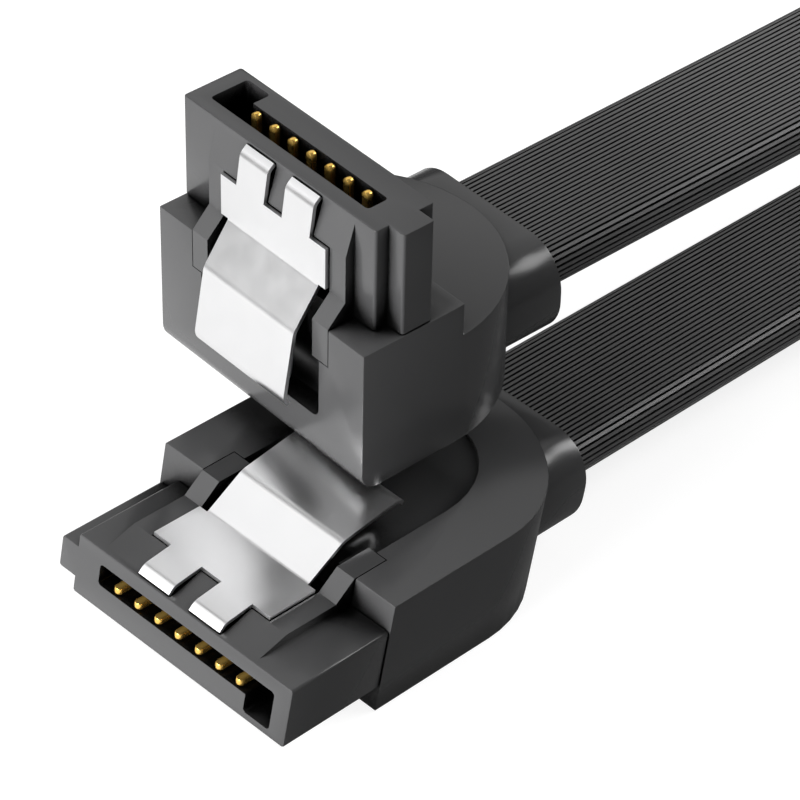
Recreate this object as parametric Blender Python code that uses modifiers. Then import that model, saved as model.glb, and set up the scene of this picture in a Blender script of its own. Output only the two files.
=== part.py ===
"""SATA data cable: a straight plug and a right-angle plug, each with a steel
latch, on one flat ribbed cable that is folded into a tied hank.

Each plug is built in its own frame: x runs from its mouth towards the cable,
y to the side with the locating tab, and z up from its underside to its latch.
An empty carries each frame to its place.
"""
import math

import bmesh
import bpy
from mathutils import Matrix, Vector

MM = 0.001

# Clearances
FIT = 0.05 * MM               # between pieces that are fixed together
SLIDE = 0.06 * MM             # beside the moving latch
REST_GAP = 0.53 * MM          # between the upper plug's foot and the lower overmold
CUT_PAST = 1.0 * MM           # how far a cutter passes the face that it cuts

# Plug shell
PLUG_WIDTH = 14.26 * MM       # with the tab
PLUG_HEIGHT = 3.36 * MM
PLUG_LENGTHS = {"straight": 6.2 * MM, "angled": 5.5 * MM}
TAB_WIDTH = 1.0 * MM
TAB_HEIGHT = 1.76 * MM
TAB_RISE = 0.85 * MM
SLOT_INSET = 0.95 * MM        # wall on the plain side of the slot
SLOT_WIDTH = 10.86 * MM
SLOT_HEIGHT = 1.19 * MM
SLOT_FLOOR = 1.38 * MM
SLOT_CORNER = 0.2 * MM
SHELL_CORNER = 0.15 * MM
KEY_WIDTH = 1.59 * MM         # foot of the L
KEY_DEPTH = 0.99 * MM
BACK_WALL = 1.0 * MM
EDGE = 0.07 * MM              # soft edge of the moulded pieces

# Tail of the shell, inside the overmold
TAIL_WIDTH = 11.6 * MM
TAIL_LOW = 0.45 * MM
TAIL_HIGH = 2.95 * MM
TAIL_LENGTH = 4.0 * MM
TAIL_CORNER = 0.2 * MM
SOLDER_ROOM = 1.6 * MM        # pocket behind the tail for the contacts' ends

# Contacts
CONTACT_COUNT = 7
CONTACT_PITCH = 1.27 * MM
CONTACT_WIDTH = 0.45 * MM
CONTACT_THICKNESS = 0.35 * MM
CONTACT_RISE = 0.105 * MM     # above the slot's floor
CONTACT_MARGIN = 1.07 * MM    # first contact from the tab end of the slot
CONTACT_SET_BACK = 0.05 * MM
CONTACT_TIP = 0.98            # share of a full half round at its tip
CONTACT_EDGE = 0.08 * MM
SOLDER_TAIL = 1.0 * MM

# Pad under the latch, and the ears beside it
PAD_WIDTH = 9.48 * MM
PAD_HEIGHT = 0.5 * MM
PAD_ROOT = 0.3 * MM           # how deep the pad is sunk in the tail's top
RAMP_FRONT = 0.2 * MM
RAMP_SINK = 0.06 * MM
RAMP_ROOT = 0.1 * MM
RAMP_END = 2.0 * MM
EAR_THICKNESS = 1.06 * MM
EAR_HEIGHT = 0.99 * MM        # above the pad
EAR_RAMP = 1.0 * MM
EAR_LENGTH = 2.07 * MM
EAR_ROOT = 0.2 * MM           # how deep an ear is sunk in the pad
EAR_FOOT = 0.34 * MM          # narrow step on an ear's inner side
EAR_FOOT_DROP = 0.3 * MM
EAR_FOOT_START = 0.5 * MM     # past the overmold's face
WELL_STOP = 0.3 * MM          # the latch's well ends this far before the overmold
GROOVE_DEPTH = 0.42 * MM      # under the teeth, below the top of the shell

# Latch, one folded strip of spring steel
SHEET = 0.2 * MM
TOOTH_WIDTH = 1.9 * MM
TOOTH_GAP = 1.25 * MM
TOOTH_TIP = 0.2 * MM          # tip from the mouth
TOOTH_DROP = 0.57 * MM        # tip below the plate
TOOTH_ROLL = 0.55 * MM
PLATE_FRONT = 2.1 * MM
PLATE_STOP = 1.1 * MM         # plate ends this far before the overmold
ARM_WIDTH = 6.3 * MM
ARM_KNEE = (0.89 * MM, 1.44 * MM)    # past the overmold's face, above the plate
ARM_CREST = (4.95 * MM, 2.12 * MM)
LEAF_WIDTH = 3.6 * MM
LEAF_REACH = 0.4 * MM         # the lower leaf's end past the overmold's face
LEAF_LIFT = 0.24 * MM         # leaf's end above the pad
BEND_RADIUS = 0.7 * MM
BEND_FLAT = 0.12 * MM         # straight stretch in the middle of the fold
KNEE_RADIUS = 0.8 * MM
HEEL_RADIUS = 0.3 * MM
PLATE_LIFT = 0.01 * MM        # air under the plate
CREST_LAP = 0.71 * MM         # how far the upper plug's lowest corner lies below the lower crest

# Overmold
OVERMOLD_PROUD = 0.04 * MM    # past the shell, at each side
OVERMOLD_WIDTH = PLUG_WIDTH + 2 * OVERMOLD_PROUD
OVERMOLD_DROP = 1.4 * MM      # below the shell's underside
RECESS_WIDTH = 8.3 * MM
RECESS_FLOOR = 0.4 * MM       # above the shell's top
STRAIGHT_SIDE = 7.9 * MM      # straight part of its sides, then a half circle
DISH_STRAIGHT = 6.8 * MM      # straight part of the thumb dish, from the overmold's face
DISH_ROUND = 5.2 * MM
DISH_LIP = 0.4 * MM           # the slope meets the top this far past the dish's end
DISH_SLOPE = 3.6 * MM
DISH_SWEEP = 8.0 * MM         # radius between the level floor and the slope
DISH_STEPS = 18
RECESS_START = 0.5 * MM       # the recess begins this far before the ears' back
ANGLED_HEIGHT = 7.9 * MM      # along the plug
ANGLED_STEP = 1.82 * MM       # the round part starts this far below the block's top
ANGLED_BLOCK_BACK = -1.1 * MM
ANGLED_ROUND_CENTRE = -0.63 * MM
ANGLED_TOE = 1.0 * MM         # rounded front lower edge
WINDOW_LENGTH = 5.4 * MM
WINDOW_CORNER = 0.45 * MM

# Boot on the overmold
BOOT_WIDTH = 10.4 * MM
BOOT_THICKNESS = 5.2 * MM
BOOT_LENGTH = 1.2 * MM        # past the overmold's round back
BOOT_INSET = 0.45 * MM        # from the overmold's top
BOOT_CORNER = 2.3 * MM
CABLE_SEAT = 1.0 * MM
CABLE_RISE = 0.15 * MM        # the cable's middle from the boot's, towards the overmold's top
BOOT_OVERLAP = 5.0 * MM       # how far the boot runs into the overmold

# Cable
CABLE_LENGTH = 400.0 * MM
CABLE_WIDTH = 8.0 * MM
CABLE_THICKNESS = 2.2 * MM
CABLE_SPACING = 1.5 * CABLE_WIDTH    # between the points of a tube
RUN_GAP = 1.0 * MM            # between the two runs of the hank
FOLD_RADIUS = 4.0 * MM
FOLD_SETTLE = 28.0 * MM       # length over which the fold comes down to the lower run
FOLD_SWEEP = 30.0 * MM        # radius where the fold has come down
HANK_EDGE = 0.9 * MM
HANK_NEAR = 100.0 * MM
LEVEL_END = 4.0 * MM          # level stretch of the upper cable before the hank
TIE_WIDTH = 5.0 * MM
TIE_THICKNESS = 0.5 * MM
TIE_CORNER = 0.5 * MM

# Places in the world; the routes' points are in millimetres, the lower one's with the share of its fall
STRAIGHT_MOUTH = -12.0 * MM
ANGLED_PLACE = (1.54 * MM, 5.62 * MM)
ANGLED_LEAN = Vector((-4.02, -6.39, -6.46))    # rotation vector in degrees
LOW_ROUTE = ((18.0, 0.0), (30.0, 0.0), (43.0, 0.05), (56.0, 0.35), (72.0, 0.8), (88.0, 1.0))
HIGH_AHEAD = (9.0, 20.0, 34.0)
HIGH_ROUTE = ((58.0, -0.8, 16.2), (69.0, -0.8, 13.4), (79.0, -0.4, 9.1), (88.0, 0.0, 5.8))

# Directions of extrusion: columns are the outline's x, the outline's y and the sweep
ALONG_X = Matrix(((0, 0, 1), (1, 0, 0), (0, 1, 0)))    # outline (y, z)
ALONG_Y = Matrix(((0, 1, 0), (0, 0, 1), (1, 0, 0)))    # outline (z, x)
ALONG_Z = Matrix.Identity(3)                           # outline (x, y)
ARC_STEP = math.radians(12)
WIDE_ARC_STEP = math.radians(7.5)
WIDE_ARC = 2.0 * MM                                    # radius from which arcs get the finer step
STRAIGHT = 1e-6                                        # a turn or a length that counts as none
FULL_ROUND = 0.999                                     # share of half a width that rounds an end

# Derived sizes of the plug
HALF = PLUG_WIDTH / 2
SHELL_SPAN = (-HALF, HALF - TAB_WIDTH)
SLOT_SPAN = (-HALF + SLOT_INSET, -HALF + SLOT_INSET + SLOT_WIDTH)
SLOT_TOP = SLOT_FLOOR + SLOT_HEIGHT
CONTACT_Z = SLOT_FLOOR + CONTACT_RISE + CONTACT_THICKNESS / 2
PAD_TOP = PLUG_HEIGHT + PAD_HEIGHT
PLATE_Z = PAD_TOP + SHEET / 2 + PLATE_LIFT
PLATE_WIDTH = PAD_WIDTH - 2 * EAR_THICKNESS - 2 * SLIDE
CREST_Z = PLATE_Z + ARM_CREST[1]
FOLD_Z = CREST_Z - BEND_RADIUS - BEND_FLAT / 2
OVERMOLD_TOP = PAD_TOP + EAR_HEIGHT
BOOT_TOP = OVERMOLD_TOP - BOOT_INSET
CABLE_Z = BOOT_TOP - BOOT_THICKNESS / 2 + CABLE_RISE


def clear_scene():
    for thing in list(bpy.data.objects):
        bpy.data.objects.remove(thing)


def new_collection(name):
    collection = bpy.data.collections.new(name)
    bpy.context.scene.collection.children.link(collection)
    return collection


def material(name, colour, roughness, metallic=0.0):
    finish = bpy.data.materials.new(name)
    finish.use_nodes = True
    shader = finish.node_tree.nodes["Principled BSDF"]
    shader.inputs["Base Color"].default_value = (*colour, 1.0)
    shader.inputs["Roughness"].default_value = roughness
    shader.inputs["Metallic"].default_value = metallic
    return finish


def round_corner(before, corner, after):
    """Points of the arc that rounds one corner (u, v, radius)."""
    here = Vector(corner[:2])
    radius = corner[2] if len(corner) > 2 else 0.0
    arriving = (here - Vector(before[:2])).normalized()
    leaving = (Vector(after[:2]) - here).normalized()
    turn = arriving.angle(leaving)
    if radius <= 0 or turn < STRAIGHT:
        return [here]
    reach = radius * math.tan(turn / 2)
    steps = max(2, math.ceil(turn / (ARC_STEP if radius < WIDE_ARC else WIDE_ARC_STEP)))
    side = 1.0 if arriving.cross(leaving) > 0 else -1.0
    start = here - arriving * reach
    centre = start + Vector((-arriving.y, arriving.x)) * radius * side
    spoke = start - centre
    points = []
    for step in range(steps + 1):
        angle = side * turn * step / steps
        points.append(centre + Matrix.Rotation(angle, 2) @ spoke)
    return points


def round_outline(corners):
    """A closed outline whose corners are (u, v) or (u, v, radius)."""
    points = []
    for index, corner in enumerate(corners):
        points += round_corner(corners[index - 1], corner, corners[(index + 1) % len(corners)])
    return points


def rectangle(low, high, radius=0.0):
    (left, bottom), (right, top) = low, high
    return [(left, bottom, radius), (right, bottom, radius), (right, top, radius), (left, top, radius)]


def mirror_outline(half):
    """Close a half outline of (u, v) corners over the line v = 0."""
    return list(half) + [(corner[0], -corner[1], *corner[2:]) for corner in reversed(half)]


def dress(thing, finish, collection, frame=None):
    collection.objects.link(thing)
    thing.parent = frame
    if finish:
        thing.data.materials.clear()
        thing.data.materials.append(finish)
    else:
        thing.hide_render = True
        thing.display_type = "WIRE"
    return thing


def to_mesh(curve_object):
    """The curve object as a closed mesh object in the same place."""
    name = curve_object.name
    bpy.context.scene.collection.objects.link(curve_object)
    graph = bpy.context.evaluated_depsgraph_get()
    mesh = bpy.data.meshes.new_from_object(curve_object.evaluated_get(graph))
    shape = bmesh.new()
    shape.from_mesh(mesh)
    bmesh.ops.remove_doubles(shape, verts=shape.verts, dist=1e-7)
    bmesh.ops.recalc_face_normals(shape, faces=shape.faces)
    shape.to_mesh(mesh)
    shape.free()
    place = curve_object.matrix_world.copy()
    bpy.data.objects.remove(curve_object)
    mesh.name = name
    solid = bpy.data.objects.new(name, mesh)
    solid.matrix_world = place
    return solid


def prism(name, corners, axis, span, edge=0.0):
    """A flat outline swept over a span of the axis, with rounded rims."""
    curve = bpy.data.curves.new(name, "CURVE")
    curve.dimensions = "2D"
    curve.fill_mode = "BOTH"
    curve.extrude = (span[1] - span[0]) / 2 - edge
    curve.bevel_depth = edge
    curve.bevel_resolution = 1
    curve.offset = -edge
    outline = round_outline(corners)
    spline = curve.splines.new("POLY")
    spline.points.add(len(outline) - 1)
    for point, place in zip(spline.points, outline):
        point.co = (place[0], place[1], 0, 1)
    spline.use_cyclic_u = True
    swept = bpy.data.objects.new(name, curve)
    middle = axis @ Vector((0, 0, (span[0] + span[1]) / 2))
    swept.matrix_world = Matrix.Translation(middle) @ axis.to_4x4()
    return to_mesh(swept)


def group(name, solids):
    """Separate closed solids joined into one object."""
    shape = bmesh.new()
    for solid in solids:
        solid.data.transform(solid.matrix_basis)
        shape.from_mesh(solid.data)
        bpy.data.objects.remove(solid)
    mesh = bpy.data.meshes.new(name)
    shape.to_mesh(mesh)
    shape.free()
    return bpy.data.objects.new(name, mesh)


def combine(solid, other, operation):
    step = solid.modifiers.new(operation.lower() + "_" + other.name, "BOOLEAN")
    step.operation = operation
    step.object = other


def soften(solid, width, segments=2):
    step = solid.modifiers.new("soft_edges", "BEVEL")
    step.width = width
    step.segments = segments
    step.limit_method = "ANGLE"
    step.angle_limit = math.radians(35)


def shade(solid):
    solid.data.shade_smooth()
    solid.data.set_sharp_from_angle(angle=math.radians(30))
    return solid


class Workshop:
    """Where the pieces, the tools that shape them and their finishes are kept."""

    def __init__(self):
        self.parts = new_collection("sata_data_cable")
        self.cutters = new_collection("cutters")
        self.plastic = material("black_plastic", (0.035, 0.035, 0.037), 0.35)
        self.steel = material("spring_steel", (0.82, 0.82, 0.83), 0.25, 1.0)
        self.gold = material("gold_plating", (0.85, 0.58, 0.2), 0.25, 1.0)
        self.jacket = material("cable_jacket", (0.05, 0.05, 0.052), 0.5)
        self.fabric = material("tie_fabric", (0.03, 0.03, 0.03), 0.9)

    def tool(self, solid, frame=None):
        return dress(solid, None, self.cutters, frame)

    def piece(self, solid, finish, frame=None):
        return dress(shade(solid), finish, self.parts, frame)


def slot_outline():
    """The L-shaped slot: a flat blade's width with a key foot on the plain side."""
    low, high = SLOT_SPAN
    foot = low + KEY_WIDTH
    return [
        (low, SLOT_FLOOR - KEY_DEPTH, SLOT_CORNER),
        (foot, SLOT_FLOOR - KEY_DEPTH, SLOT_CORNER),
        (foot, SLOT_FLOOR),
        (high, SLOT_FLOOR, SLOT_CORNER),
        (high, SLOT_TOP, SLOT_CORNER),
        (low, SLOT_TOP, SLOT_CORNER),
    ]


def pad_outline(length):
    """Side view (z, x) of the pad: a ramp at the mouth, then level to the ears' back."""
    return [
        (PLUG_HEIGHT - RAMP_SINK, RAMP_FRONT),
        (PAD_TOP, RAMP_END),
        (PAD_TOP, length + EAR_LENGTH),
        (TAIL_HIGH - PAD_ROOT, length + EAR_LENGTH),
        (TAIL_HIGH - PAD_ROOT, RAMP_FRONT + PAD_ROOT),
        (PLUG_HEIGHT - RAMP_SINK - RAMP_ROOT, RAMP_FRONT),
    ]


def ear_outline(length):
    """Side view (z, x) of an ear, level with the top of the overmold."""
    return [
        (PAD_TOP - EAR_ROOT, length - EAR_RAMP),
        (PAD_TOP, length - EAR_RAMP),
        (OVERMOLD_TOP, length),
        (OVERMOLD_TOP, length + EAR_LENGTH),
        (PAD_TOP - EAR_ROOT, length + EAR_LENGTH),
    ]


def plug_ears(name, length):
    """Both ears, each with a low step on its inner side."""
    outer = PAD_WIDTH / 2
    inner = outer - EAR_THICKNESS
    foot_low = (PAD_TOP - EAR_ROOT, length + EAR_FOOT_START)
    foot_high = (OVERMOLD_TOP - EAR_FOOT_DROP, length + EAR_LENGTH)
    ears = []
    feet = []
    for side in (1, -1):
        ear_span = sorted((side * inner, side * outer))
        foot_span = sorted((side * (inner - EAR_FOOT), side * (inner + EAR_ROOT)))
        ears.append(prism("ear", ear_outline(length), ALONG_Y, ear_span))
        feet.append(prism("ear_foot", rectangle(foot_low, foot_high), ALONG_Y, foot_span))
    return [group(name + "_ears", ears), group(name + "_ear_feet", feet)]


def contact_places():
    first = SLOT_SPAN[1] - CONTACT_MARGIN
    return [first - index * CONTACT_PITCH for index in range(CONTACT_COUNT)]


def tooth_spans():
    inner = TOOTH_GAP / 2
    return [(-inner - TOOTH_WIDTH, -inner), (inner, inner + TOOTH_WIDTH)]


def plug_shell(shop, name, frame, length):
    low, high = SHELL_SPAN
    body_outline = rectangle((low, 0.0), (high, PLUG_HEIGHT), SHELL_CORNER)
    shell = prism(name, body_outline, ALONG_X, (0.0, length), EDGE)
    tab_low = (high - TAB_WIDTH, TAB_RISE)
    tab_outline = rectangle(tab_low, (high + TAB_WIDTH, TAB_RISE + TAB_HEIGHT), SHELL_CORNER)
    tab = prism(name + "_tab", tab_outline, ALONG_X, (0.0, length), EDGE)
    half_tail = TAIL_WIDTH / 2
    tail_outline = rectangle((-half_tail, TAIL_LOW), (half_tail, TAIL_HIGH), TAIL_CORNER)
    tail = prism(name + "_tail", tail_outline, ALONG_X, (length - BACK_WALL / 2, length + TAIL_LENGTH))
    half_pad = PAD_WIDTH / 2
    pad = prism(name + "_pad", pad_outline(length), ALONG_Y, (-half_pad, half_pad))
    for solid in [tab, tail, pad] + plug_ears(name, length):
        combine(shell, shop.tool(solid, frame), "UNION")
    for solid in shell_cutters(name, length):
        combine(shell, shop.tool(solid, frame), "DIFFERENCE")
    return shop.piece(shell, shop.plastic, frame)


def shell_cutters(name, length):
    """The slot, the contacts' channels, the latch's well and the grooves under its teeth."""
    slot = prism(name + "_slot", slot_outline(), ALONG_X, (-CUT_PAST, length - BACK_WALL))
    half_width = CONTACT_WIDTH / 2 + FIT
    half_height = CONTACT_THICKNESS / 2 + FIT
    reach = (length - BACK_WALL - CUT_PAST, length + TAIL_LENGTH + CUT_PAST)
    channels = []
    for y in contact_places():
        hole = rectangle((y - half_width, CONTACT_Z - half_height), (y + half_width, CONTACT_Z + half_height))
        channels.append(prism("channel", hole, ALONG_X, reach))
    half_well = PLATE_WIDTH / 2 + SLIDE
    well = rectangle((PLATE_FRONT - SLIDE, -half_well), (length - WELL_STOP, half_well))
    grooves = []
    for low, high in tooth_spans():
        groove = rectangle((TOOTH_TIP - SLIDE, low - SLIDE), (PLATE_FRONT, high + SLIDE))
        grooves.append(prism("groove", groove, ALONG_Z, (PLUG_HEIGHT - GROOVE_DEPTH, PAD_TOP + CUT_PAST)))
    return [
        slot,
        group(name + "_channels", channels),
        prism(name + "_well", well, ALONG_Z, (PLUG_HEIGHT, PAD_TOP + CUT_PAST)),
        group(name + "_grooves", grooves),
    ]


def contact(shop, name, frame, length, y):
    """A gold plated blade with a round tip, through the shell to its solder tail."""
    half = CONTACT_WIDTH / 2
    end = length + TAIL_LENGTH + SOLDER_TAIL
    outline = [
        (CONTACT_SET_BACK, y - half, half * CONTACT_TIP),
        (end, y - half),
        (end, y + half),
        (CONTACT_SET_BACK, y + half, half * CONTACT_TIP),
    ]
    span = (CONTACT_Z - CONTACT_THICKNESS / 2, CONTACT_Z + CONTACT_THICKNESS / 2)
    return shop.piece(prism(name, outline, ALONG_Z, span, CONTACT_EDGE), shop.gold, frame)


def latch_path(length):
    """Side view (x, z) of the latch's middle surface, in runs that share their ends.

    The teeth climb to the plate, the arm rises from its heel over a knee to the
    crest, and the strip narrows and folds back under itself into the lower leaf.
    """
    tip = (TOOTH_TIP, PLATE_Z - TOOTH_DROP)
    brow = (TOOTH_TIP + TOOTH_ROLL / 2, PLATE_Z - TOOTH_DROP * 0.4, TOOTH_ROLL * 0.9)
    front = (PLATE_FRONT, PLATE_Z)
    heel = (length - PLATE_STOP, PLATE_Z, HEEL_RADIUS)
    knee = (length + ARM_KNEE[0], PLATE_Z + ARM_KNEE[1], KNEE_RADIUS)
    crest = (length + ARM_CREST[0], CREST_Z, BEND_RADIUS)
    under = (length + ARM_CREST[0], CREST_Z - 2 * BEND_RADIUS - BEND_FLAT, BEND_RADIUS)
    end = (length + LEAF_REACH, PAD_TOP + LEAF_LIFT + SHEET / 2)
    teeth = [Vector(tip)] + round_corner(tip, brow, front) + [Vector(front)]
    bend = round_corner(front, heel, knee)
    plate = [Vector(front), bend[0]]
    lip = round_corner(knee, crest, under)
    narrow = len(lip) // 2
    arm = bend + round_corner(heel, knee, crest) + lip[:narrow + 1]
    leaf = lip[narrow:] + round_corner(crest, under, end) + [Vector(end)]
    return teeth, plate, arm, leaf


def latch_spans():
    half_plate = PLATE_WIDTH / 2
    half_arm = ARM_WIDTH / 2
    half_leaf = LEAF_WIDTH / 2
    return tooth_spans(), [(-half_plate, half_plate)], [(-half_arm, half_arm)], [(-half_leaf, half_leaf)]


def latch_pivot(length):
    return Vector((length + ARM_CREST[0] - BEND_RADIUS, 0.0, FOLD_Z))


def latch_spring(shop, name, frame, length):
    """A grid bent round the side view, kept where the strip has metal, then thickened."""
    spans = latch_spans()
    breaks = sorted({edge for group in spans for span in group for edge in span})
    pivot = latch_pivot(length)
    strip = bmesh.new()
    row = []
    last = None
    for run, group in zip(latch_path(length), spans):
        for place in run:
            if last is not None and (place - last).length < STRAIGHT:
                continue
            new_row = [strip.verts.new(Vector((place[0], y, place[1])) - pivot) for y in breaks]
            if last is not None:
                lay_faces(strip, row, new_row, breaks, group)
            row = new_row
            last = place
    loose = [vert for vert in strip.verts if not vert.link_faces]
    bmesh.ops.delete(strip, geom=loose, context="VERTS")
    mesh = bpy.data.meshes.new(name)
    strip.to_mesh(mesh)
    strip.free()
    spring = bpy.data.objects.new(name, mesh)
    spring.location = pivot
    thick = spring.modifiers.new("sheet", "SOLIDIFY")
    thick.thickness = SHEET
    thick.offset = 0.0
    thick.use_even_offset = True
    return shop.piece(spring, shop.steel, frame)


def lay_faces(strip, row, new_row, breaks, group):
    for index in range(len(breaks) - 1):
        middle = (breaks[index] + breaks[index + 1]) / 2
        if any(low < middle < high for low, high in group):
            strip.faces.new((row[index], row[index + 1], new_row[index + 1], new_row[index]))


def shell_pocket(name, length):
    """Room in an overmold for the shell's tail, the contacts' ends and the ears."""
    half = TAIL_WIDTH / 2 + FIT
    bore = rectangle((-half, TAIL_LOW - FIT), (half, TAIL_HIGH + FIT))
    depth = (length - CUT_PAST, length + TAIL_LENGTH + SOLDER_ROOM)
    half_ears = PAD_WIDTH / 2 + FIT
    channel = rectangle((-half_ears, TAIL_HIGH - PAD_ROOT), (half_ears, OVERMOLD_TOP + CUT_PAST))
    return [
        prism(name + "_pocket", bore, ALONG_X, depth),
        prism(name + "_ear_channel", channel, ALONG_X, (length - CUT_PAST, length + EAR_LENGTH + FIT)),
    ]


def boot_section(low, high):
    """Section of the boot across the cable, (thickness, width)."""
    half = BOOT_WIDTH / 2
    return rectangle((low, -half), (high, half), BOOT_CORNER)


def cable_section(middle, grow):
    half_thickness = CABLE_THICKNESS / 2 + grow
    half_width = CABLE_WIDTH / 2 + grow
    low = (middle - half_thickness, -half_width)
    return rectangle(low, (middle + half_thickness, half_width), half_thickness * FULL_ROUND)


def swap(corners):
    """Outline (u, v) read as (v, u), turned the same way round."""
    return [(corner[1], corner[0], *corner[2:]) for corner in reversed(corners)]


def straight_back(length):
    """The back of the straight overmold."""
    return length + STRAIGHT_SIDE + OVERMOLD_WIDTH / 2


def straight_overmold(shop, name, frame, length):
    half = OVERMOLD_WIDTH / 2
    turn = length + STRAIGHT_SIDE
    plan = mirror_outline([(length + FIT, half), (turn + half, half, half * FULL_ROUND)])
    body = prism(name, plan, ALONG_Z, (-OVERMOLD_DROP, OVERMOLD_TOP), EDGE)
    back = straight_back(length)
    boot = prism(name + "_boot", swap(boot_section(BOOT_TOP - BOOT_THICKNESS, BOOT_TOP)), ALONG_X,
                 (back - BOOT_OVERLAP, back + BOOT_LENGTH), EDGE)
    combine(body, shop.tool(boot, frame), "UNION")
    seat = (back + BOOT_LENGTH - CABLE_SEAT, back + BOOT_LENGTH + CUT_PAST)
    cutters = shell_pocket(name, length)
    cutters.append(prism(name + "_cable_seat", swap(cable_section(CABLE_Z, FIT)), ALONG_X, seat))
    cutters.append(thumb_dish(shop, name, frame, length))
    for solid in cutters:
        combine(body, shop.tool(solid, frame), "DIFFERENCE")
    return shop.piece(body, shop.plastic, frame)


def thumb_dish(shop, name, frame, length):
    """Round-ended recess behind the latch: level under it, then rising to the top."""
    half = RECESS_WIDTH / 2
    end = length + DISH_STRAIGHT
    arc = []
    for step in range(1, DISH_STEPS):
        angle = math.pi * step / DISH_STEPS
        arc.append((end + DISH_ROUND * math.sin(angle), half * math.cos(angle)))
    front = length + EAR_LENGTH - RECESS_START
    plan = [(front, half), (end, half), *arc, (end, -half), (front, -half)]
    dish = prism(name + "_dish", plan, ALONG_Z, (PLUG_HEIGHT, OVERMOLD_TOP + CUT_PAST))
    floor = PLUG_HEIGHT + RECESS_FLOOR
    lip = end + DISH_ROUND + DISH_LIP
    above = OVERMOLD_TOP + 2 * CUT_PAST
    foot = (floor, lip - DISH_SLOPE, DISH_SWEEP)
    profile = [(floor, length), (above, length), (above, lip), (OVERMOLD_TOP, lip), foot]
    slope = prism(name + "_dish_slope", profile, ALONG_Y, (-OVERMOLD_WIDTH / 2, OVERMOLD_WIDTH / 2))
    combine(dish, shop.tool(slope, frame), "INTERSECT")
    return dish


def angled_overmold(shop, name, frame, length):
    """A block behind the latch and a round back that turns the cable by a right angle."""
    half = OVERMOLD_WIDTH / 2
    top = length + FIT
    bottom = length + ANGLED_HEIGHT
    back = ANGLED_ROUND_CENTRE - half
    plan = [
        (-half, OVERMOLD_TOP + CUT_PAST),
        (half, OVERMOLD_TOP + CUT_PAST),
        (half, back, half * FULL_ROUND),
        (-half, back, half * FULL_ROUND),
    ]
    body = prism(name, plan, ALONG_X, (top - CUT_PAST, bottom + CUT_PAST))
    side = [
        (OVERMOLD_TOP, top),
        (OVERMOLD_TOP, bottom, ANGLED_TOE),
        (back - CUT_PAST, bottom),
        (back - CUT_PAST, length + ANGLED_STEP),
        (ANGLED_BLOCK_BACK, length + ANGLED_STEP),
        (ANGLED_BLOCK_BACK, top),
    ]
    profile = prism(name + "_side", side, ALONG_Y, (-half - CUT_PAST, half + CUT_PAST))
    combine(body, shop.tool(profile, frame), "INTERSECT")
    soften(body, EDGE)
    boot_low = length + ANGLED_STEP + BOOT_INSET
    boot = prism(name + "_boot", boot_section(boot_low, boot_low + BOOT_THICKNESS), ALONG_Z,
                 (back - BOOT_LENGTH, back + BOOT_OVERLAP), EDGE)
    combine(body, shop.tool(boot, frame), "UNION")
    seat = (back - BOOT_LENGTH - CUT_PAST, back - BOOT_LENGTH + CABLE_SEAT)
    cutters = shell_pocket(name, length)
    cutters.append(prism(name + "_cable_seat", cable_section(angled_cable_x(length), FIT), ALONG_Z, seat))
    half_window = RECESS_WIDTH / 2
    window_start = length + EAR_LENGTH - RECESS_START
    window = rectangle((window_start, -half_window), (length + WINDOW_LENGTH, half_window), WINDOW_CORNER)
    window_depth = (PLUG_HEIGHT + RECESS_FLOOR, OVERMOLD_TOP + CUT_PAST)
    cutters.append(prism(name + "_window", window, ALONG_Z, window_depth))
    for solid in cutters:
        combine(body, shop.tool(solid, frame), "DIFFERENCE")
    return shop.piece(body, shop.plastic, frame)


def angled_cable_x(length):
    """Where the cable's middle leaves the angled boot, along the plug."""
    return length + ANGLED_STEP + BOOT_INSET + BOOT_THICKNESS / 2 - CABLE_RISE


def plug_frame(name, place, turn):
    frame = bpy.data.objects.new(name, None)
    bpy.context.scene.collection.objects.link(frame)
    frame.matrix_world = Matrix.Translation(place) @ turn.to_4x4()
    return frame


def straight_placement():
    """The straight plug lies on the underside of its overmold."""
    return Vector((STRAIGHT_MOUTH, 0.0, OVERMOLD_DROP)), Matrix.Identity(3)


def angled_placement():
    """The angled plug stands mouth up and leans over the straight one's latch."""
    upright = Matrix(((0, 0, -1), (0, -1, 0), (-1, 0, 0)))
    lean = Matrix.Rotation(math.radians(ANGLED_LEAN.length), 3, ANGLED_LEAN.normalized())
    turn = lean @ upright
    bottom = PLUG_LENGTHS["angled"] + ANGLED_HEIGHT
    half = OVERMOLD_WIDTH / 2
    corners = [Vector((bottom, y, z)) for y in (-half, half) for z in (ANGLED_ROUND_CENTRE, OVERMOLD_TOP)]
    lowest = min((turn @ corner).z for corner in corners)
    foot = OVERMOLD_DROP + max(OVERMOLD_TOP + REST_GAP, CREST_Z - CREST_LAP)
    return Vector((*ANGLED_PLACE, foot - lowest)), turn


def build_plug(shop, side, placement, make_overmold):
    length = PLUG_LENGTHS[side]
    frame = plug_frame(side + "_plug_frame", *placement)
    plug_shell(shop, side + "_plug_housing", frame, length)
    for index, y in enumerate(contact_places()):
        contact(shop, "%s_contact_%d" % (side, index + 1), frame, length, y)
    latch_spring(shop, side + "_latch_spring", frame, length)
    make_overmold(shop, side + "_overmold", frame, length)


def smooth_route(points, spacing):
    """Points about one spacing apart on a smooth curve through the route."""
    padded = [2 * points[0] - points[1], *points, 2 * points[-1] - points[-2]]
    route = []
    for index in range(len(points) - 1):
        a, b, c, d = padded[index:index + 4]
        steps = max(1, round((c - b).length / spacing))
        for step in range(steps):
            t = step / steps
            route.append(0.5 * (2 * b + (c - a) * t + (2 * a - 5 * b + 4 * c - d) * t ** 2
                                + (3 * b - a - 3 * c + d) * t ** 3))
    return route + [points[-1]]


def route_length(route):
    return sum((route[index + 1] - route[index]).length for index in range(len(route) - 1))


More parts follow.
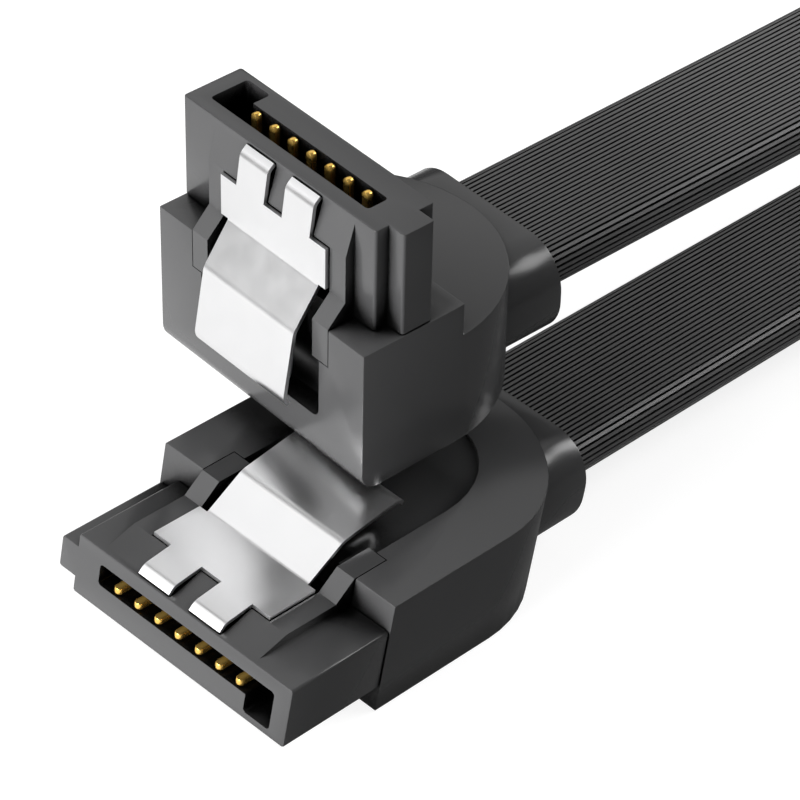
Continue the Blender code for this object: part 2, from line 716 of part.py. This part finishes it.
def run_heights():
    """Heights of the hank's lower and upper run."""
    low = TIE_THICKNESS + FIT + CABLE_THICKNESS / 2
    return low, low + CABLE_THICKNESS + RUN_GAP


def straight_route():
    """From the straight boot down to the surface and along it to the hank."""
    place, turn = straight_placement()
    seat = straight_back(PLUG_LENGTHS["straight"]) + BOOT_LENGTH - CABLE_SEAT + FIT
    start = place + turn @ Vector((seat, 0.0, CABLE_Z))
    points = [start]
    fall = start.z - run_heights()[0]
    for x, share in LOW_ROUTE:
        points.append(Vector((x * MM, 0.0, start.z - fall * share)))
    points.append(Vector((HANK_NEAR - FIT, 0.0, run_heights()[0])))
    return smooth_route(points, CABLE_SPACING)


def angled_route():
    """From the angled boot, straight on with its lean, then down to the hank's upper run."""
    place, turn = angled_placement()
    seat = ANGLED_ROUND_CENTRE - OVERMOLD_WIDTH / 2 - BOOT_LENGTH + CABLE_SEAT - FIT
    start = place + turn @ Vector((angled_cable_x(PLUG_LENGTHS["angled"]), 0.0, seat))
    ahead = turn @ Vector((0.0, 0.0, -1.0))
    points = [start] + [start + ahead * distance * MM for distance in HIGH_AHEAD]
    points += [Vector(place) * MM for place in HIGH_ROUTE]
    level = run_heights()[1]
    points += [Vector((HANK_NEAR - LEVEL_END, 0.0, level)), Vector((HANK_NEAR - FIT, 0.0, level))]
    return smooth_route(points, CABLE_SPACING)


def cable_tube(shop, name, route, roll=0.0):
    """A flat tube along the route; it leaves its boot rolled and comes down flat."""
    curve = bpy.data.curves.new(name, "CURVE")
    curve.dimensions = "3D"
    curve.twist_mode = "Z_UP"
    curve.bevel_depth = CABLE_THICKNESS / 2
    curve.bevel_resolution = 2
    curve.extrude = (CABLE_WIDTH - CABLE_THICKNESS) / 2
    curve.use_fill_caps = True
    spline = curve.splines.new("POLY")
    spline.points.add(len(route) - 1)
    for index, (point, place) in enumerate(zip(spline.points, route)):
        point.co = (*place, 1)
        point.tilt = math.pi / 2 + roll * (1 - index / (len(route) - 1))
    return dress(bpy.data.objects.new(name, curve), shop.jacket, shop.parts)


def angled_roll():
    """How far the angled plug's width is turned from level, about its cable."""
    turn = angled_placement()[1]
    across = turn @ Vector((0.0, 1.0, 0.0))
    ahead = turn @ Vector((0.0, 0.0, -1.0))
    level = ahead.cross(Vector((0.0, 0.0, 1.0)))
    return math.atan2(level.cross(across).dot(ahead), across.dot(level))


def hank_reach(tubes):
    """How far the hank's runs go past its near end, from the cable's length."""
    settle = math.hypot(FOLD_SETTLE, 2 * FOLD_RADIUS - CABLE_THICKNESS - RUN_GAP) - FOLD_SETTLE
    return (CABLE_LENGTH - sum(map(route_length, tubes)) - math.pi * FOLD_RADIUS - settle) / 2


def cable_hank(shop, name, reach):
    """The folded cable as one solid: two runs and the loop that joins them."""
    low, high = run_heights()
    half = CABLE_THICKNESS / 2
    far = HANK_NEAR + reach
    bulge = low + 2 * FOLD_RADIUS + half
    tip = far + FOLD_RADIUS + half
    outline = [
        (low - half, HANK_NEAR + FIT),
        (high + half, HANK_NEAR + FIT),
        (high + half, far - FOLD_SETTLE, FOLD_SWEEP),
        (bulge, far, FOLD_RADIUS),
        (bulge, tip, FOLD_RADIUS),
        (low - half, tip, FOLD_RADIUS),
    ]
    half_width = CABLE_WIDTH / 2
    return shop.piece(prism(name, outline, ALONG_Y, (-half_width, half_width), HANK_EDGE), shop.jacket)


def cable_tie(shop, name, middle):
    """A band round both runs."""
    low, high = run_heights()
    half = CABLE_THICKNESS / 2 + FIT
    side = CABLE_WIDTH / 2 + FIT
    inner = rectangle((-side, low - half), (side, high + half), TIE_CORNER)
    grow = TIE_THICKNESS
    outer = rectangle((-side - grow, low - half - grow), (side + grow, high + half + grow), TIE_CORNER + grow)
    span = (middle - TIE_WIDTH / 2, middle + TIE_WIDTH / 2)
    band = prism(name, outer, ALONG_X, span)
    hole = prism(name + "_hole", inner, ALONG_X, (span[0] - CUT_PAST, span[1] + CUT_PAST))
    combine(band, shop.tool(hole), "DIFFERENCE")
    return shop.piece(band, shop.fabric)


def build_cable(shop):
    tubes = [straight_route(), angled_route()]
    cable_tube(shop, "cable_straight_run", tubes[0])
    cable_tube(shop, "cable_angled_run", tubes[1], angled_roll())
    reach = hank_reach(tubes)
    cable_hank(shop, "cable_hank", reach)
    cable_tie(shop, "cable_tie", HANK_NEAR + reach / 2)


def main():
    clear_scene()
    shop = Workshop()
    build_plug(shop, "straight", straight_placement(), straight_overmold)
    build_plug(shop, "angled", angled_placement(), angled_overmold)
    build_cable(shop)


main()
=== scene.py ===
"""Looks of the SATA data cable: its finishes, its ribbed cable, the floor, the light and the camera."""
import math

import bpy
from mathutils import Matrix, Vector

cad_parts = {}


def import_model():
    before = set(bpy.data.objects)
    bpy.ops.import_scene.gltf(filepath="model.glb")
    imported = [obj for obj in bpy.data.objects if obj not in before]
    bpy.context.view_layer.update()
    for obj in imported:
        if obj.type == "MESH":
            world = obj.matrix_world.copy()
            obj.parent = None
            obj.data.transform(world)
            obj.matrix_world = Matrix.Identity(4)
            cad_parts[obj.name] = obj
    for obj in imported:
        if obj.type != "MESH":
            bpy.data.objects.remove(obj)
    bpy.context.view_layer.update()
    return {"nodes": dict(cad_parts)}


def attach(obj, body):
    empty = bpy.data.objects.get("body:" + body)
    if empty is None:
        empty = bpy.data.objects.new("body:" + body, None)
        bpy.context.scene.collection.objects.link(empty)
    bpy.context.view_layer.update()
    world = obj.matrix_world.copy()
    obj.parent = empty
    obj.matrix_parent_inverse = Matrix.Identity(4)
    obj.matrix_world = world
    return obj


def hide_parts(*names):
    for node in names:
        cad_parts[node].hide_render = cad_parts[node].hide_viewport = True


MM = 0.001

# Cable, as the CAD source has it
CABLE_LENGTH = 400.0 * MM
CABLE_WIDTH = 8.0 * MM
CABLE_THICKNESS = 2.2 * MM
ROUTE_SPACING = 12.0 * MM
RING_SPACING = 3.0 * MM
FOLD_RADIUS = 4.0 * MM
FOLD_SETTLE = 28.0 * MM
FOLD_STEPS = 16
SETTLE_STEPS = 8
HANK_NEAR = 100.0 * MM
LOW_HEIGHT = 1.65 * MM
HIGH_HEIGHT = 4.85 * MM
STRAIGHT_START = Vector((9.52, 0.0, 3.35)) * MM
LEVEL_END = 4.0 * MM
LOW_ROUTE = ((18.0, 0.0), (30.0, 0.0), (43.0, 0.05), (56.0, 0.35), (72.0, 0.8), (88.0, 1.0))
HIGH_AHEAD = (9.0, 20.0, 34.0)
HIGH_ROUTE = ((58.0, -0.8, 16.2), (69.0, -0.8, 13.4), (79.0, -0.4, 9.1), (88.0, 0.0, 5.8))
ANGLED_PLACE = Vector((1.54, 5.62, 21.077)) * MM
ANGLED_LEAN = Vector((-4.02, -6.39, -6.46))     # rotation vector in degrees
UPRIGHT = Matrix(((0, 0, -1), (0, -1, 0), (-1, 0, 0)))
ANGLED_START = Vector((10.22, 0.0, -8.05)) * MM    # these three are in the angled plug's own frame
ANGLED_EXIT = Vector((0.0, 0.0, -1.0))
ANGLED_ACROSS = Vector((0.0, 1.0, 0.0))
UP = Vector((0.0, 0.0, 1.0))

# Shading of the solids and of the ribs
WELD = 0.002 * MM
CRISP_ANGLE = math.radians(28)
RIB_CREASE = math.radians(50)

# Ribs of the jacket
RIB_PITCH = 0.273 * MM
RIB_DEPTH = 0.15 * MM
RIB_SHAPE = ((0.0, 1.0), (0.14, 0.55), (0.21, 0.0), (0.79, 0.0), (0.86, 0.55))    # shares of pitch and depth

# Finishes: the two tones that each wanders between
NOISE_SPAN = (0.35, 0.65)    # where most of a noise's values lie
PLASTIC_TONES = ((0.053, 0.053, 0.054), (0.056, 0.056, 0.057))
PLASTIC_GLOSS = 0.4
PLASTIC_IOR = 1.5
# Painted shade: the plastics' base colour is darkened by ambient occlusion in slots, crevices and narrow
# gaps
PAINTED_SHADE_REACH = 2.4 * MM
PAINTED_SHADE_CLOSED = 0.50        # openness at which the painted shade in a slot is darkest
PAINTED_SHADE_OPEN = 0.84          # openness from which the colour is whole, with no painted shade
PAINTED_SHADE_SHARE = 0.02         # share of the colour that the slots with the darkest painted shade keep
PAINTED_SHADE_SAMPLES = 8
JACKET_TONES = ((0.112, 0.112, 0.113), (0.122, 0.122, 0.123))
STEEL_TONES = ((0.84, 0.84, 0.845), (0.86, 0.86, 0.865))
GOLD_TONES = ((0.96, 0.58, 0.12), (1.0, 0.66, 0.18))
FABRIC_TONES = ((0.012, 0.012, 0.013), (0.030, 0.030, 0.032))

# Floor: white where it is seen, and a painted reflection where something mirrors it: a soft dark and bright
# glowing field that only glossy rays see
FLOOR_HALF = 1.5
FLOOR_GAP = 0.02 * MM
FLOOR_TONES = ((0.29, 0.29, 0.29), (0.31, 0.31, 0.31))
FLOOR_ROUGHNESS = 0.9
FLOOR_GLOW = 0.84
FLOOR_DARK = 0.12
FLOOR_BRIGHT = 1.0
FLOOR_BRIGHT_WAY = (-0.54, 0.84, 0.0)
FLOOR_DARK_SIDE = -2.0 * MM
FLOOR_BRIGHT_SIDE = 5.0 * MM
FLOOR_BRIGHT_REACH = 62.0 * MM
FLOOR_DARK_REACH = 76.0 * MM

# Lights: name, direction from the lit point, distance, width and height in metres, radiance
LIT_POINT = Vector((-4.0, 0.0, 8.0)) * MM
WINDOWS = (
    ("rear_window", (0.52, 0.47, 0.71), 0.45, (0.50, 0.50), 0.72),
    ("ramp_window", (-0.56, 0.47, 0.68), 0.45, (0.28, 0.34), 1.3),
    ("left_window", (-0.98, 0.09, 0.05), 0.40, (0.22, 0.27), 34.0),
    ("crease_window", (-0.70, 0.66, 0.27), 0.45, (0.26, 0.12), 0.7),
    ("right_window", (0.62, -0.36, 0.69), 0.45, (0.16, 0.16), 7.0),
    ("boot_window", (0.93, -0.16, 0.35), 0.45, (0.10, 0.26), 7.0),
)
WHITE = (1.0, 1.0, 1.0, 1.0)
WORLD_LIGHT = 0.05

# Camera, matched to the photo
LENS = 180.0
SENSOR = 36.0
CLIP = (0.01, 10.0)
CAMERA_TARGET = Vector((-9.0, -7.70657, 19.84307)) * MM
CAMERA_DISTANCE = 165.07119 * MM
AZIMUTH = math.radians(-54.10086)
ELEVATION = math.radians(37.52826)
ROLL = math.radians(10.60541)


def new_material(name):
    made = bpy.data.materials.new(name)
    made.use_nodes = True
    tree = made.node_tree
    return made, tree, tree.nodes["Principled BSDF"]


def noise(tree, scale, detail=2.0):
    coordinates = tree.nodes.new("ShaderNodeTexCoord")
    texture = tree.nodes.new("ShaderNodeTexNoise")
    texture.inputs["Scale"].default_value = scale
    texture.inputs["Detail"].default_value = detail
    tree.links.new(coordinates.outputs["Object"], texture.inputs["Vector"])
    return texture


def spread(tree, source, low, high):
    """The noise's span mapped to low to high."""
    ranged = tree.nodes.new("ShaderNodeMapRange")
    ranged.inputs["From Min"].default_value, ranged.inputs["From Max"].default_value = NOISE_SPAN
    ranged.inputs["To Min"].default_value = low
    ranged.inputs["To Max"].default_value = high
    tree.links.new(source, ranged.inputs["Value"])
    return ranged.outputs["Result"]


def tint(tree, shader, source, low, high):
    """Base colour that wanders between two close tones."""
    mix = tree.nodes.new("ShaderNodeMix")
    mix.data_type = "RGBA"
    mix.inputs["A"].default_value = (*low, 1.0)
    mix.inputs["B"].default_value = (*high, 1.0)
    tree.links.new(source, mix.inputs["Factor"])
    tree.links.new(mix.outputs["Result"], shader.inputs["Base Color"])


def grain(tree, shader, scale, distance, strength):
    bump = tree.nodes.new("ShaderNodeBump")
    bump.inputs["Strength"].default_value = strength
    bump.inputs["Distance"].default_value = distance
    tree.links.new(noise(tree, scale).outputs["Fac"], bump.inputs["Height"])
    tree.links.new(bump.outputs["Normal"], shader.inputs["Normal"])


def paint_crevice_shade(tree, shader):
    """Painted shade: base colour darkened by ambient occlusion in the slots and narrow gaps."""
    base = shader.inputs["Base Color"]
    colour = base.links[0].from_socket
    openness = tree.nodes.new("ShaderNodeAmbientOcclusion")
    openness.samples = PAINTED_SHADE_SAMPLES
    openness.inputs["Distance"].default_value = PAINTED_SHADE_REACH
    ranged = tree.nodes.new("ShaderNodeMapRange")
    ranged.inputs["From Min"].default_value = PAINTED_SHADE_CLOSED
    ranged.inputs["From Max"].default_value = PAINTED_SHADE_OPEN
    ranged.inputs["To Min"].default_value = PAINTED_SHADE_SHARE
    scaled = tree.nodes.new("ShaderNodeVectorMath")
    scaled.operation = "SCALE"
    tree.links.new(openness.outputs["AO"], ranged.inputs["Value"])
    tree.links.new(colour, scaled.inputs[0])
    tree.links.new(ranged.outputs["Result"], scaled.inputs["Scale"])
    tree.links.new(scaled.outputs["Vector"], base)


def plastic(name, tones, roughness, bump):
    made, tree, shader = new_material(name)
    shader.inputs["Specular IOR Level"].default_value = PLASTIC_GLOSS
    wander = noise(tree, scale=400.0).outputs["Fac"]
    tint(tree, shader, wander, *tones)
    # painted shade in the slots and gaps
    paint_crevice_shade(tree, shader)
    tree.links.new(spread(tree, wander, *roughness), shader.inputs["Roughness"])
    shader.inputs["IOR"].default_value = PLASTIC_IOR
    grain(tree, shader, scale=9000.0, distance=0.01 * MM, strength=bump)
    return made


def metal(name, tones, roughness, bump, metallic=1.0):
    made, tree, shader = new_material(name)
    wander = noise(tree, scale=900.0, detail=4.0).outputs["Fac"]
    tint(tree, shader, wander, *tones)
    tree.links.new(spread(tree, wander, *roughness), shader.inputs["Roughness"])
    shader.inputs["Metallic"].default_value = metallic
    grain(tree, shader, scale=14000.0, distance=0.004 * MM, strength=bump)
    return made


def make_finishes():
    return {
        "shell_plastic": plastic("shell_finish", PLASTIC_TONES, roughness=(0.19, 0.21), bump=0.02),
        "overmold_plastic": plastic("overmold_finish", PLASTIC_TONES, roughness=(0.21, 0.24), bump=0.03),
        "spring_steel": metal("steel_finish", STEEL_TONES, roughness=(0.28, 0.30), bump=0.01),
        "gold_contact": metal("gold_finish", GOLD_TONES, roughness=(0.24, 0.28), bump=0.02, metallic=0.85),
        "cable_jacket": plastic("jacket_finish", JACKET_TONES, roughness=(0.34, 0.40), bump=0.1),
        "tie_fabric": plastic("fabric_finish", FABRIC_TONES, roughness=(0.85, 0.95), bump=1.0),
    }


def smooth_curves(node):
    """Round faces shade smoothly, and real edges stay crisp."""
    mesh = node.data
    normals = mesh.attributes.get("custom_normal")
    if normals:
        mesh.attributes.remove(normals)
    mesh.shade_smooth()
    node.modifiers.new("weld", "WELD").merge_threshold = WELD
    node.modifiers.new("crisp", "EDGE_SPLIT").split_angle = CRISP_ANGLE


def dress_nodes(frame, finishes):
    for node in frame["nodes"].values():
        smooth_curves(node)
        for slot in node.material_slots:
            slot.material = finishes[slot.material.name]


def smooth_route(points, spacing):
    """Points about one spacing apart on a smooth curve through the route."""
    padded = [2 * points[0] - points[1], *points, 2 * points[-1] - points[-2]]
    route = []
    for index in range(len(points) - 1):
        a, b, c, d = padded[index:index + 4]
        steps = max(1, round((c - b).length / spacing))
        for step in range(steps):
            t = step / steps
            route.append(0.5 * (2 * b + (c - a) * t + (2 * a - 5 * b + 4 * c - d) * t ** 2
                                + (3 * b - a - 3 * c + d) * t ** 3))
    return route + [points[-1]]


def route_length(route):
    return sum((route[index + 1] - route[index]).length for index in range(len(route) - 1))


def straight_points():
    points = [STRAIGHT_START]
    fall = STRAIGHT_START.z - LOW_HEIGHT
    for x, share in LOW_ROUTE:
        points.append(Vector((x * MM, 0.0, STRAIGHT_START.z - fall * share)))
    return points + [Vector((HANK_NEAR, 0.0, LOW_HEIGHT))]


def angled_turn():
    lean = Matrix.Rotation(math.radians(ANGLED_LEAN.length), 3, ANGLED_LEAN)
    return lean @ UPRIGHT


def angled_points():
    start = ANGLED_PLACE + angled_turn() @ ANGLED_START
    ahead = angled_turn() @ ANGLED_EXIT
    points = [start] + [start + ahead * distance * MM for distance in HIGH_AHEAD]
    points += [Vector(place) * MM for place in HIGH_ROUTE]
    points += [Vector((HANK_NEAR - LEVEL_END, 0.0, HIGH_HEIGHT)), Vector((HANK_NEAR, 0.0, HIGH_HEIGHT))]
    return points


def angled_roll():
    """Angle from level to the cable's width where it leaves the angled plug."""
    across = angled_turn() @ ANGLED_ACROSS
    ahead = angled_turn() @ ANGLED_EXIT
    level = ahead.cross(UP)
    return math.atan2(level.cross(across).dot(ahead), across.dot(level))


def hank_line(reach):
    """Centre line from the lower run's near end, round the fold, to the upper run's near end."""
    far = HANK_NEAR + reach
    line = []
    steps = round(reach / (2 * RING_SPACING))
    for step in range(1, steps + 1):
        line.append(Vector((HANK_NEAR + reach * step / steps, 0.0, LOW_HEIGHT)))
    for step in range(1, FOLD_STEPS + 1):
        angle = math.pi * step / FOLD_STEPS
        line.append(Vector((far + FOLD_RADIUS * math.sin(angle), 0.0,
                            LOW_HEIGHT + FOLD_RADIUS * (1 - math.cos(angle)))))
    high = LOW_HEIGHT + 2 * FOLD_RADIUS
    for step in range(1, SETTLE_STEPS + 1):
        share = step / SETTLE_STEPS
        ease = share * share * (3 - 2 * share)
        line.append(Vector((far - FOLD_SETTLE * share, 0.0, high + (HIGH_HEIGHT - high) * ease)))
    near = far - FOLD_SETTLE
    steps = max(2, round((near - HANK_NEAR) / (2 * RING_SPACING)))
    for step in range(1, steps):
        line.append(Vector((near + (HANK_NEAR - near) * step / steps, 0.0, HIGH_HEIGHT)))
    return line


def cable_rings():
    """Centres of the cable's sections and the direction of its width at each."""
    low = smooth_route(straight_points(), RING_SPACING)
    high = smooth_route(angled_points(), RING_SPACING)
    coarse = [smooth_route(points, ROUTE_SPACING) for points in (straight_points(), angled_points())]
    settle = math.hypot(FOLD_SETTLE, HIGH_HEIGHT - LOW_HEIGHT - 2 * FOLD_RADIUS) - FOLD_SETTLE
    reach = (CABLE_LENGTH - sum(map(route_length, coarse)) - math.pi * FOLD_RADIUS - settle) / 2
    sideways = Vector((0.0, -1.0, 0.0))
    rings = [(place, sideways) for place in low + hank_line(reach)]
    roll = angled_roll()
    turned = []
    for index, place in enumerate(high):
        ahead = (high[min(index + 1, len(high) - 1)] - high[max(index - 1, 0)]).normalized()
        level = ahead.cross(UP).normalized()
        share = roll * (1 - index / (len(high) - 1))
        turned.append((place, Matrix.Rotation(share, 3, ahead) @ level))
    return rings + turned[::-1]


def outline_at(distance):
    """Point on the flat cable's outline at a distance round it, and the outward direction."""
    radius = CABLE_THICKNESS / 2
    flat = CABLE_WIDTH - CABLE_THICKNESS
    bend = math.pi * radius
    if distance < flat:
        return Vector((distance - flat / 2, radius)), Vector((0.0, 1.0))
    distance -= flat
    if distance < bend:
        angle = math.pi / 2 - distance / radius
        out = Vector((math.cos(angle), math.sin(angle)))
        return Vector((flat / 2, 0.0)) + out * radius, out
    distance -= bend
    if distance < flat:
        return Vector((flat / 2 - distance, -radius)), Vector((0.0, -1.0))
    distance -= flat
    angle = -math.pi / 2 - distance / radius
    out = Vector((math.cos(angle), math.sin(angle)))
    return Vector((-flat / 2, 0.0)) + out * radius, out


def ribbed_section():
    """The cable's outline (width, thickness) with its ribs."""
    around = 2 * (CABLE_WIDTH - CABLE_THICKNESS) + math.pi * CABLE_THICKNESS
    ribs = round(around / RIB_PITCH)
    points = []
    for rib in range(ribs):
        for share, depth in RIB_SHAPE:
            place, out = outline_at(around * (rib + share) / ribs)
            points.append(place - out * RIB_DEPTH * depth)
    return points


def ribbed_cable(finish):
    rings = cable_rings()
    section = ribbed_section()
    count = len(section)
    vertices = []
    for index, (place, side) in enumerate(rings):
        after = rings[min(index + 1, len(rings) - 1)][0]
        before = rings[max(index - 1, 0)][0]
        ahead = (after - before).normalized()
        across = (side - ahead * side.dot(ahead)).normalized()
        thick = across.cross(ahead)
        vertices += [place + across * u - thick * v for u, v in section]
    faces = []
    for ring in range(len(rings) - 1):
        for index in range(count):
            follow = (index + 1) % count
            low, high = ring * count, (ring + 1) * count
            faces.append((low + index, high + index, high + follow, low + follow))
    faces.append(tuple(range(count)))
    last = (len(rings) - 1) * count
    faces.append(tuple(last + index for index in reversed(range(count))))
    mesh = bpy.data.meshes.new("data_cable")
    mesh.from_pydata(vertices, [], faces)
    mesh.validate()
    mesh.shade_smooth()
    mesh.set_sharp_from_angle(angle=RIB_CREASE)
    cable = bpy.data.objects.new("data_cable", mesh)
    bpy.context.scene.collection.objects.link(cable)
    mesh.materials.append(finish)
    return cable, [place for place, side in rings]


def add_cable(finish):
    cable, line = ribbed_cable(finish)
    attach(cable, "cable_and_plugs")
    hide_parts("cable_straight_run", "cable_hank", "cable_angled_run")


def painted_reflection_field(tree):
    """Painted reflection: the glow that glossy rays see on the floor, dark at the right front, bright at the
    left rear, dark again far off.
    """
    coordinates = tree.nodes.new("ShaderNodeTexCoord")
    along = tree.nodes.new("ShaderNodeVectorMath")
    along.operation = "DOT_PRODUCT"
    along.inputs[1].default_value = FLOOR_BRIGHT_WAY
    step = tree.nodes.new("ShaderNodeMapRange")
    step.interpolation_type = "SMOOTHSTEP"
    step.inputs["From Min"].default_value = FLOOR_DARK_SIDE
    step.inputs["From Max"].default_value = FLOOR_BRIGHT_SIDE
    step.inputs["To Min"].default_value = FLOOR_DARK
    step.inputs["To Max"].default_value = FLOOR_BRIGHT
    tree.links.new(coordinates.outputs["Object"], along.inputs[0])
    tree.links.new(along.outputs["Value"], step.inputs["Value"])
    distance = tree.nodes.new("ShaderNodeVectorMath")
    distance.operation = "LENGTH"
    fade = tree.nodes.new("ShaderNodeMapRange")
    fade.inputs["From Min"].default_value = FLOOR_BRIGHT_REACH
    fade.inputs["From Max"].default_value = FLOOR_DARK_REACH
    fade.inputs["To Min"].default_value = 1.0
    fade.inputs["To Max"].default_value = FLOOR_DARK
    both = tree.nodes.new("ShaderNodeMath")
    both.operation = "MULTIPLY"
    tree.links.new(coordinates.outputs["Object"], distance.inputs[0])
    tree.links.new(distance.outputs["Value"], fade.inputs["Value"])
    tree.links.new(step.outputs["Result"], both.inputs[0])
    tree.links.new(fade.outputs["Result"], both.inputs[1])
    return both.outputs["Value"]


def floor_material():
    """Pale floor: seen directly it is white with the object's shadow, and gloss sees a painted reflection, a
    glowing field of its own.
    """
    made, tree, shader = new_material("floor_finish")
    shader.inputs["Roughness"].default_value = FLOOR_ROUGHNESS
    tint(tree, shader, noise(tree, scale=6.0).outputs["Fac"], *FLOOR_TONES)
    glow = tree.nodes.new("ShaderNodeEmission")
    glow.inputs["Strength"].default_value = FLOOR_GLOW
    # painted reflection: a glow that only glossy rays see
    painted_reflection_glow = tree.nodes.new("ShaderNodeEmission")
    tree.links.new(painted_reflection_field(tree), painted_reflection_glow.inputs["Strength"])
    seen = tree.nodes.new("ShaderNodeAddShader")
    rays = tree.nodes.new("ShaderNodeLightPath")
    glossy = tree.nodes.new("ShaderNodeMixShader")
    direct = tree.nodes.new("ShaderNodeMixShader")
    tree.links.new(shader.outputs["BSDF"], seen.inputs[0])
    tree.links.new(glow.outputs["Emission"], seen.inputs[1])
    tree.links.new(rays.outputs["Is Glossy Ray"], glossy.inputs["Fac"])
    tree.links.new(shader.outputs["BSDF"], glossy.inputs[1])
    tree.links.new(painted_reflection_glow.outputs["Emission"], glossy.inputs[2])
    tree.links.new(rays.outputs["Is Camera Ray"], direct.inputs["Fac"])
    tree.links.new(glossy.outputs["Shader"], direct.inputs[1])
    tree.links.new(seen.outputs["Shader"], direct.inputs[2])
    tree.links.new(direct.outputs["Shader"], tree.nodes["Material Output"].inputs["Surface"])
    return made


def add_floor():
    mesh = bpy.data.meshes.new("floor")
    corners = [(-1, -1), (1, -1), (1, 1), (-1, 1)]
    mesh.from_pydata([(x * FLOOR_HALF, y * FLOOR_HALF, -FLOOR_GAP) for x, y in corners], [], [(0, 1, 2, 3)])
    mesh.materials.append(floor_material())
    floor = bpy.data.objects.new("floor", mesh)
    bpy.context.scene.collection.objects.link(floor)


def window(name, direction, distance, size, brightness):
    """A soft area light that faces the object, with its brightness as radiance."""
    data = bpy.data.lights.new(name, "AREA")
    data.shape = "RECTANGLE"
    data.size, data.size_y = size
    data.energy = brightness * math.pi * size[0] * size[1]
    lamp = bpy.data.objects.new(name, data)
    towards = Vector(direction).normalized()
    lamp.location = LIT_POINT + towards * distance
    lamp.rotation_euler = towards.to_track_quat("Z", "Y").to_euler()
    bpy.context.scene.collection.objects.link(lamp)


def add_world():
    """A faint even light, which the camera sees as white."""
    world = bpy.data.worlds.new("studio")
    bpy.context.scene.world = world
    world.use_nodes = True
    tree = world.node_tree
    background = tree.nodes["Background"]
    background.inputs["Color"].default_value = WHITE
    background.inputs["Strength"].default_value = WORLD_LIGHT
    seen = tree.nodes.new("ShaderNodeBackground")
    seen.inputs["Color"].default_value = WHITE
    rays = tree.nodes.new("ShaderNodeLightPath")
    choose = tree.nodes.new("ShaderNodeMixShader")
    tree.links.new(rays.outputs["Is Camera Ray"], choose.inputs["Fac"])
    tree.links.new(background.outputs["Background"], choose.inputs[1])
    tree.links.new(seen.outputs["Background"], choose.inputs[2])
    tree.links.new(choose.outputs["Shader"], tree.nodes["World Output"].inputs["Surface"])


def add_camera():
    data = bpy.data.cameras.new("photo_camera")
    data.lens = LENS
    data.sensor_width = SENSOR
    data.clip_start, data.clip_end = CLIP
    back = Vector((math.sin(AZIMUTH) * math.cos(ELEVATION), -math.cos(AZIMUTH) * math.cos(ELEVATION),
                   math.sin(ELEVATION)))
    right = UP.cross(back).normalized()
    up = back.cross(right)
    rolled_right = right * math.cos(ROLL) + up * math.sin(ROLL)
    rolled_up = up * math.cos(ROLL) - right * math.sin(ROLL)
    camera = bpy.data.objects.new("photo_camera", data)
    camera.rotation_euler = Matrix((rolled_right, rolled_up, back)).transposed().to_euler()
    camera.location = CAMERA_TARGET + back * CAMERA_DISTANCE
    bpy.context.scene.collection.objects.link(camera)
    bpy.context.scene.camera = camera


def main():
    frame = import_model()
    finishes = make_finishes()
    dress_nodes(frame, finishes)
    add_cable(finishes["cable_jacket"])
    add_floor()
    for values in WINDOWS:
        window(*values)
    add_world()
    add_camera()
    bpy.context.scene.view_settings.view_transform = "Standard"


main()
